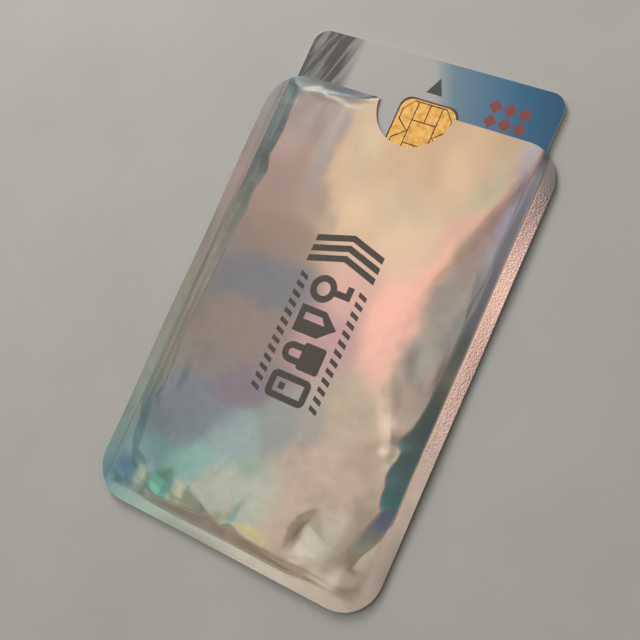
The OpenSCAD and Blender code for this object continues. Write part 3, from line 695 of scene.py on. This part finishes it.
def holographicFilm():
    # Holographic polyester film, metallised and laminated: a satin mirror that splits light into pastels;
    # its colour also holds painted highlights and painted shade
    mat, tree, shader = newMaterial("holographic polyester film", {"Metallic": filmFinish["metal"]})
    where = addNode(tree, "ShaderNodeTexCoord")
    drift = noise(tree, where["Object"], filmFinish["drift"], 2)["Color"]
    centred = vectorMaths(tree, "SUBTRACT", drift, (0.5, 0.5, 0.5))
    bent = addNode(
        tree, "ShaderNodeVectorMath", {"operation": "SCALE", "Scale": 2 * filmFinish["driftReach"] * mm},
        {0: centred})["Vector"]
    flat = vectorMaths(tree, "MULTIPLY", vectorMaths(tree, "ADD", where["Object"], bent), (1, 1, 0))
    mixed, weights = (0, 0, 0), 0
    for x, y, across, along, turn, code in filmSpotsWithPaintedLight:
        local = addNode(tree, "ShaderNodeMapping", {
            "vector_type": "TEXTURE",
            "Location": (x * mm, y * mm, 0),
            "Rotation": (0, 0, math.radians(turn)),
            "Scale": (across * mm, along * mm, 1),
        }, {"Vector": flat})["Vector"]
        near = maths(tree, "ADD", vectorMaths(tree, "DOT_PRODUCT", local, local), 1)
        weight = maths(tree, "POWER", near, -filmFinish["keen"])
        mixed = vectorMaths(tree, "MULTIPLY_ADD", linear(code)[:3], weight, mixed)
        weights = maths(tree, "ADD", weight, weights)
    colour = vectorMaths(tree, "DIVIDE", mixed, weights)

    # Flanges: how far a point is past each edge of the pocket
    spot = addNode(tree, "ShaderNodeSeparateXYZ", links={0: where["Object"]})
    pastSide = maths(tree, "SUBTRACT", maths(tree, "ABSOLUTE", spot["X"]), skirtX * mm)
    pastLow = maths(tree, "SUBTRACT", skirtY * mm, spot["Y"])
    onFlange = fade(tree, maths(tree, "MAXIMUM", pastSide, pastLow), *filmFinish["flangeFade"])
    rightHand = maths(tree, "GREATER_THAN", spot["X"], 0)
    below = fade(tree, maths(tree, "SUBTRACT", pastLow, pastSide), *filmFinish["lowFade"])
    rim = framed(tree, spot, flangeColours, rightHand, below)
    colour = overlay(tree, onFlange, colour, rim)

    # Slopes: the grating turns its colour with the way the film faces, and painted shade darkens the slopes
    # and skirt that turn from the light
    axes = addNode(tree, "ShaderNodeSeparateXYZ", links={0: where["Normal"]})
    facing = maths(tree, "ARCTAN2", axes["Y"], axes["X"])
    mildShadeWheel = toned(tree, remap(tree, facing, -math.pi, math.pi), mildTintsWithShade)
    toRight = remap(tree, axes["X"], *filmFinish["rightFade"])
    leaning = maths(tree, "ADD", axes["Y"], maths(tree, "ABSOLUTE", axes["X"]))
    toBottom = remap(tree, leaning, *filmFinish["bottomFade"])
    steepShadeFrame = framed(tree, spot, skirtColoursWithShade, toRight, toBottom)
    for slopes, blend, tint in (("mild", "MULTIPLY", mildShadeWheel), ("steep", "MIX", steepShadeFrame)):
        start, end = filmFinish[slopes]
        colour = overlay(tree, remap(tree, axes["Z"], math.cos(start), math.cos(end)), colour, tint, blend)

    # Gloss: fine haze, the orange peel of the laminate and the crimp along the right flange
    haze = noise(tree, where["Object"], filmFinish["haze"], 4, hazeRoughness)["Fac"]
    rough = remap(tree, haze, *mottleSpan, *filmFinish["rough"])
    peel = noise(tree, where["Object"], filmFinish["crinkle"], 3)["Fac"]
    bump = bumped(tree, peel, filmFinish["crinkleDepth"])
    cells = addNode(
        tree, "ShaderNodeTexVoronoi", {"Scale": 1 / (filmFinish["crimp"] * mm)},
        {"Vector": where["Object"]})["Distance"]
    across = fade(tree, spot["X"], *filmFinish["crimpSide"])
    pressed = fade(tree, spot["Y"], *filmFinish["crimpLow"])
    for part in (fade(tree, spot["Y"], *filmFinish["crimpHigh"]), across, cells):
        pressed = maths(tree, "MULTIPLY", pressed, part)
    bump = bumped(tree, pressed, filmFinish["crimpDepth"], bump)
    groove = maths(tree, "ABSOLUTE", maths(tree, "SUBTRACT", spot["X"], filmFinish["sealLine"] * mm))
    bump = bumped(tree, fade(tree, groove, 0, filmFinish["sealReach"]), filmFinish["sealDepth"], bump)
    feed(tree, shader, {"Base Color": colour, "Roughness": rough, "Normal": bump})
    return mat


def dressed(name, look):  # a material with mottled colour, uneven gloss and a fine grain, sized in mm
    mat, tree, shader = newMaterial(name, {"Metallic": look["metal"]})
    where = addNode(tree, "ShaderNodeTexCoord")["Object"]
    drawn = addNode(
        tree, "ShaderNodeMapping", {"Scale": look.get("stretch", (1, 1, 1))}, {"Vector": where})["Vector"]
    mottle = noise(tree, drawn, look["mottle"], 4, hazeRoughness)["Fac"]
    colour = toned(tree, mottle, list(zip(mottleStops, (look["dark"], look["light"]))))
    rough = remap(tree, mottle, *mottleSpan, *look["rough"])
    grain = noise(tree, drawn, look["grain"], 3)["Fac"]
    bump = bumped(tree, grain, look["depth"])
    feed(tree, shader, {"Base Color": colour, "Roughness": rough, "Normal": bump})
    return mat


def insideBox(tree, spot, box):  # 1 between the box's left, right, bottom and top, in mm
    mask = None
    for axis, side, edge in zip("XXYY", ("GREATER_THAN", "LESS_THAN") * 2, box):
        test = maths(tree, side, spot[axis], edge * mm)
        mask = maths(tree, "MULTIPLY", test, mask) if mask else test
    return mask


cardPrint = {
    "gloss": 0.34,
    "corner": 52.5,        # y at which the blue starts at x = blueFrom
    "blueFrom": 1.0,
    "blueSlant": 0.43,
    "blueReach": 26,
    "blues": [
        (0.0, "#C2BEB7"), (0.06, "#A2ADAF"), (0.16, "#7492A0"), (0.4, "#5782A0"), (0.7, "#266A92"),
        (1.0, "#105880"),
    ],
    "lines": "#A9B8C0",    # pale fine-line pattern over the lower card
    "lineSize": 6,
    "lineSpan": (0.85, 1, 0, 0.5),
    "lineFade": (36, 22),
    "streaks": "#45413D",  # grey streaks at the left end
    "streakTurn": -14,
    "streakSize": (1.3, 13, 1),
    "streakSpan": (0.36, 0.56, 0.52, 1),
    "streakFade": (-15.5, -18.5),
    "streakBox": (-27, -15, 44.8, 57),
    "arrow": [(2.3, 52.8), (0.5, 49.4), (3.9, 49.4)],
    "arrowInk": "#3E3E3B",
    # The seat's ring is painted shade of the gap round the chip
    "seatCorner": 2.0,
    "seatRing": 0.32,
    "seatShadeColour": "#4A3626",
    "diamond": 3.0,        # pitch of the small diamonds
    "diamondShare": 0.54,  # the higher, the smaller they are
    "diamondBox": (13.2, 22.2, 43.0, 52.0),
    "diamondInk": "#94403A",
    "peel": 0.5,           # size and depth of the laminate's unevenness
    "peelDepth": 0.002,
}


def cardFront():
    # Offset print under a clear gloss laminate: pale card, blue corner, small ornaments
    mat, tree, shader = newMaterial("printed card laminate", {"Roughness": cardPrint["gloss"]})
    where = addNode(tree, "ShaderNodeTexCoord")["Object"]
    spot = addNode(tree, "ShaderNodeSeparateXYZ", links={0: where})
    run = vectorMaths(tree, "DOT_PRODUCT", where, (1, cardPrint["blueSlant"], 0))
    first = cardPrint["blueFrom"] + cardPrint["blueSlant"] * cardPrint["corner"]
    colour = toned(tree, fade(tree, run, first, first + cardPrint["blueReach"]), cardPrint["blues"])

    fine = addNode(tree, "ShaderNodeTexWave", {
        "bands_direction": "DIAGONAL",
        "Scale": 1 / (cardPrint["lineSize"] * mm),
        "Distortion": 3,
        "Detail": 0,
    }, {"Vector": where})["Fac"]
    fine = remap(tree, fine, *cardPrint["lineSpan"])
    fine = maths(tree, "MULTIPLY", fine, fade(tree, spot["Y"], *cardPrint["lineFade"]))
    colour = overlay(tree, fine, colour, cardPrint["lines"])

    turned = addNode(tree, "ShaderNodeMapping", {
        "vector_type": "TEXTURE",
        "Rotation": (0, 0, math.radians(cardPrint["streakTurn"])),
        "Scale": Vector(cardPrint["streakSize"]) * mm,
    }, {"Vector": where})["Vector"]
    streak = addNode(
        tree, "ShaderNodeTexNoise", {"Scale": 1, "Detail": 3, "Distortion": 0.6}, {"Vector": turned})["Fac"]
    streak = remap(tree, streak, *cardPrint["streakSpan"])
    streak = maths(tree, "MULTIPLY", streak, fade(tree, spot["X"], *cardPrint["streakFade"]))
    streak = maths(tree, "MULTIPLY", streak, insideBox(tree, spot, cardPrint["streakBox"]))
    colour = overlay(tree, streak, colour, cardPrint["streaks"])

    # Arrow: the part inside all three of its edges
    corners = cardPrint["arrow"]
    arrow = None
    for (x0, y0), (x1, y1) in zip(corners, corners[1:] + corners[:1]):
        inward = Vector((y0 - y1, x1 - x0, 0)).normalized()
        edge = vectorMaths(tree, "DOT_PRODUCT", where, inward)
        test = maths(tree, "GREATER_THAN", edge, inward.dot(Vector((x0, y0, 0))) * mm)
        arrow = maths(tree, "MULTIPLY", arrow, test) if arrow else test
    colour = overlay(tree, arrow, colour, cardPrint["arrowInk"])

    # Painted shade: a dark ring round the contacts stands for the shadowed gap of the chip's milled seat
    seat = []
    for axis, low, high in (("X", chipLow[0], chipHigh[0]), ("Y", chipLow[1], chipHigh[1])):
        off = maths(tree, "ABSOLUTE", maths(tree, "SUBTRACT", spot[axis], (low + high) / 2 * mm))
        off = maths(tree, "SUBTRACT", off, ((high - low) / 2 - cardPrint["seatCorner"]) * mm)
        seat.append(maths(tree, "POWER", maths(tree, "MAXIMUM", off, 0), 2))
    edge = (cardPrint["seatCorner"] + cardPrint["seatRing"]) * mm
    seat = maths(tree, "LESS_THAN", maths(tree, "ADD", *seat), edge * edge)
    colour = overlay(tree, seat, colour, cardPrint["seatShadeColour"])

    # Diamonds: each axis swings up and down once per pitch, and the sum peaks in their middles
    box, pitch = cardPrint["diamondBox"], cardPrint["diamond"]
    swings = []
    for axis, start in (("X", box[0]), ("Y", box[2])):
        moved = maths(tree, "SUBTRACT", spot[axis], start * mm)
        swings.append(maths(tree, "PINGPONG", moved, pitch / 2 * mm))
    gem = maths(tree, "GREATER_THAN", maths(tree, "ADD", *swings), pitch * cardPrint["diamondShare"] * mm)
    gem = maths(tree, "MULTIPLY", gem, insideBox(tree, spot, box))
    colour = overlay(tree, gem, colour, cardPrint["diamondInk"])
    bump = bumped(tree, noise(tree, where, cardPrint["peel"], 2)["Fac"], cardPrint["peelDepth"])
    feed(tree, shader, {"Base Color": colour, "Normal": bump})
    return mat


# Sizes of mottle and grain and the grain's depth are in mm
looks = {
    # Plain metallised film on the back: a grey satin mirror with faint streaks
    "back film": {"metal": 0.85, "dark": "#9A9A99", "light": "#B4B3B0", "mottle": 5, "rough": (0.28, 0.42),
                  "grain": 1.1, "depth": 0.008},
    # Rolled aluminium foil: bright, with long rolling lines
    "rolled aluminium foil": {"metal": 1.0, "dark": "#C4C6C8", "light": "#DADBDC", "mottle": 0.5,
                              "rough": (0.22, 0.38), "grain": 0.3, "depth": 0.004, "stretch": (1, 0.04, 1)},
    # Milky heat-seal film inside the pocket: soft and dull
    "heat-seal film": {"metal": 0, "dark": "#CFCFCA", "light": "#E0DFDA", "mottle": 3, "rough": (0.45, 0.6),
                       "grain": 0.4, "depth": 0.006},
    # The same film fused along the edges: clearer and glossier
    "fused seal film": {"metal": 0, "dark": "#C2B5A8", "light": "#D6CABD", "mottle": 1.2,
                        "rough": (0.3, 0.5), "grain": 0.5, "depth": 0.01},
    # Screen-printed ink: dark brown and slightly open in its grain
    "screen-printed ink": {"metal": 0, "dark": "#453A32", "light": "#564A40", "mottle": 0.8,
                           "rough": (0.35, 0.5), "grain": 0.25, "depth": 0.006},
    # White card stock: the cut edge of the sheets
    "white card plastic": {"metal": 0, "dark": "#D5D3CE", "light": "#E4E2DD", "mottle": 1.5,
                           "rough": (0.4, 0.55), "grain": 0.2, "depth": 0.004},
    # Printed back of the card under gloss laminate
    "card back laminate": {"metal": 0, "dark": "#B9C2C8", "light": "#CBD1D4", "mottle": 14,
                           "rough": (0.28, 0.38), "grain": 0.5, "depth": 0.002},
    # Etched copper track: reddish and satin
    "etched copper": {"metal": 1.0, "dark": "#A5654A", "light": "#C98A66", "mottle": 0.6,
                      "rough": (0.3, 0.45), "grain": 0.12, "depth": 0.004},
    # Magnetic coating: near black, brushed along the stripe
    "magnetic coating": {"metal": 0, "dark": "#1F1814", "light": "#2B231D", "mottle": 0.8,
                         "rough": (0.25, 0.38), "grain": 0.15, "depth": 0.003, "stretch": (0.08, 1, 1)},
    # Signature panel: chalky writing surface
    "writing coating": {"metal": 0, "dark": "#D8D5CA", "light": "#E8E6DC", "mottle": 0.9,
                        "rough": (0.7, 0.85), "grain": 0.12, "depth": 0.01},
    # Gold-plated contacts, worn and stained by use
    "gold plating": {"metal": 1.0, "dark": "#BC8A44", "light": "#DEB06A", "mottle": 1.1, "rough": (0.3, 0.5),
                     "grain": 0.16, "depth": 0.008},
    # Glass-epoxy tape under the contacts: dark brown resin
    "glass-epoxy tape": {"metal": 0, "dark": "#2E1C0E", "light": "#402813", "mottle": 0.6,
                         "rough": (0.45, 0.6), "grain": 0.15, "depth": 0.006},
    # Hot-melt glue: amber and smooth
    "hot-melt glue": {"metal": 0, "dark": "#B8A678", "light": "#CDBE92", "mottle": 1, "rough": (0.25, 0.4),
                      "grain": 0.3, "depth": 0.006},
    # Silicon die: dark and mirror-flat
    "silicon": {"metal": 0.3, "dark": "#33333E", "light": "#44444F", "mottle": 0.5, "rough": (0.12, 0.2),
                "grain": 0.1, "depth": 0.0005},
    # Potting resin: black and satin
    "potting resin": {"metal": 0, "dark": "#070707", "light": "#111111", "mottle": 0.7, "rough": (0.35, 0.5),
                      "grain": 0.2, "depth": 0.006},
    # Silver-filled resin pads: grey with a dull gleam
    "silver-filled resin": {"metal": 0.6, "dark": "#8D8D89", "light": "#A9A9A4", "mottle": 0.3,
                            "rough": (0.4, 0.55), "grain": 0.08, "depth": 0.006},
    # Pale painted table top
    "matt painted board": {"metal": 0, "dark": "#C4C2BB", "light": "#CAC8C2", "mottle": 30,
                           "rough": (0.65, 0.75), "grain": 1.2, "depth": 0.02},
}
mats = {name: dressed(name, look) for name, look in looks.items()}
filmMat = holographicFilm()
cardMat = cardFront()
print("materials made")

# Pieces of the pouch
frontBlank = makeBlank("frontBlank", frontGrid, True)
backBlank = makeBlank("backBlank", backGrid, False)
print("blanks cut,", len(frontBlank.data.polygons), "and", len(backBlank.data.polygons), "cells")


def inPocket(x, y):
    return abs(x) < pocketX and y > pocketY


# Each ply: name, node, slot, material, inner face of its panel, lift off that face, thickness, extent
film, foil, liner = pouch["film"], pouch["foil"], pouch["liner"]
laminate = film + foil + liner
foilMat, linerMat, backMat = mats["rolled aluminium foil"], mats["heat-seal film"], mats["back film"]
plies = [
    ("frontFilm", "front_outer_film", "holographic_film", filmMat, frontInner, laminate, film, None),
    ("frontFoil", "front_shield_foil", "shield_foil", foilMat, frontInner, foil + liner, foil, None),
    ("frontLiner", "front_liner", "liner", linerMat, frontInner, liner, liner, inPocket),
    ("backLiner", "back_liner", "liner", linerMat, backInner, 0, liner, inPocket),
    ("backFoil", "back_shield_foil", "shield_foil", foilMat, backInner, -liner, foil, None),
    ("backFilm", "back_outer_film", "back_film", backMat, backInner, -liner - foil, film, None),
]
for name, node, slot, mat, face, lift, thick, keep in plies:
    blank = frontBlank if face == frontInner else backBlank
    wear(makePly(name, blank, lambda x, y, z: face(x, y) + lift, thick, keep), node, mat)
print("plies made")

seals = [
    ("leftSeal", "left_seal", lambda x, y: x < -pocketX),
    ("rightSeal", "right_seal", lambda x, y: x > pocketX),
    ("bottomSeal", "bottom_seal", lambda x, y: abs(x) < pocketX and y < pocketY),
]
for name, node, keep in seals:
    seal = makePly(name, backBlank, lambda x, y, z: seam + liner + flangeCurl(x, y), 2 * liner, keep)
    wear(seal, node, mats["fused seal film"])
bpy.data.objects.remove(frontBlank)
bpy.data.objects.remove(backBlank)
print("seals made")

# Print: the ink lies on the film, so a copy of its node is cut small and settled on it
inkSettings = {"thick": 0.02, "sink": 0.004, "cell": 1.0}


def makePrint():
    ink = bpy.data.objects.new("frontInk", nodes["front_print"].data.copy())
    scene.collection.objects.link(ink)
    editMode(ink)
    bpy.ops.mesh.select_all(action="SELECT")
    bpy.ops.mesh.remove_doubles(threshold=meshing["weldReach"] * mm)
    objectMode()
    columns, rows = (cutLines([(printLow[a], printHigh[a], inkSettings["cell"])]) for a in (0, 1))
    sliceMesh(ink, columns, rows)

    def onFilm(x, y, z):
        top = z > (printLow[2] + printHigh[2]) / 2
        return frontInner(x, y) + laminate + np.where(top, inkSettings["thick"], -inkSettings["sink"])

    settle(ink, onFilm)
    return ink


wear(makePrint(), "front_print", mats["screen-printed ink"])
print("print settled")

# Card: the frame's own pieces, each in its material
cardPieces = {
    "card_front_overlay": cardMat,
    "card_front_sheet": mats["white card plastic"],
    "card_inlay": mats["white card plastic"],
    "antenna_coil": mats["etched copper"],
    "card_back_sheet": mats["white card plastic"],
    "card_back_overlay": mats["card back laminate"],
    "magnetic_stripe": mats["magnetic coating"],
    "signature_panel": mats["writing coating"],
    "chip_contacts": mats["gold plating"],
    "chip_tape": mats["glass-epoxy tape"],
    "chip_adhesive": mats["hot-melt glue"],
    "chip_die": mats["silicon"],
    "chip_resin": mats["potting resin"],
    "coil_bumps": mats["silver-filled resin"],
}
for node, mat in cardPieces.items():
    paint(nodes[node], mat)
print("card painted")

# Stage
stage = {"size": 3000, "under": 0.02}
bpy.ops.mesh.primitive_plane_add(size=stage["size"] * mm, location=(0, 0, -stage["under"] * mm))
floor = bpy.context.active_object
floor.name = "floor"
paint(floor, mats["matt painted board"])

camera = {
    "lens": 62.57,
    "place": (85.62, -14.89, 191.47),
    "aim": (-0.80, 1.25, 0),
    "up": (-0.3424, 0.9106, 0.2313),
    "clipStart": 5,
}


def addCamera():
    place, aim, up = (Vector(camera[k]) for k in ("place", "aim", "up"))
    back = (place - aim).normalized()
    right = up.cross(back).normalized()
    axes = Matrix((right, back.cross(right), back)).transposed().to_4x4()
    bpy.ops.object.camera_add()
    cam = bpy.context.active_object
    cam.matrix_world = Matrix.Translation(place * mm) @ axes
    cam.data.lens = camera["lens"]
    cam.data.clip_start = camera["clipStart"] * mm
    scene.camera = cam


lights = {
    "softbox": {"place": (-205, 38, 455), "size": 430, "power": 0.5},
    "key": {"place": (-300, 330, 270), "size": 200, "power": 1.05},
}


def addLight(name, settings):  # a square light that looks at the origin
    bpy.ops.object.light_add(type="AREA", location=Vector(settings["place"]) * mm)
    light = bpy.context.active_object
    light.name = name
    light.rotation_euler = (-light.location).to_track_quat("-Z", "Y").to_euler()
    light.data.size = settings["size"] * mm
    light.data.energy = settings["power"]


addCamera()
for name, settings in lights.items():
    addLight(name, settings)

# Sky: brightest behind the lights, dim low on the other side
sky = {
    "towards": (-0.5, 0.45, 0.74),
    "span": (-0.6, 0.9),
    "low": "#737376",
    "high": "#F4F1EC",
    "strength": 0.44,
}
world = bpy.data.worlds.new("studio")
world.use_nodes = True
heaven = world.node_tree
background = heaven.nodes["Background"].inputs
way = addNode(heaven, "ShaderNodeTexCoord")["Generated"]
facing = vectorMaths(heaven, "DOT_PRODUCT", way, sky["towards"])
glow = overlay(heaven, remap(heaven, facing, *sky["span"]), sky["low"], sky["high"])
heaven.links.new(glow, background["Color"])
background["Strength"].default_value = sky["strength"]
scene.world = world
scene.view_settings.view_transform = "Standard"
print("stage set")
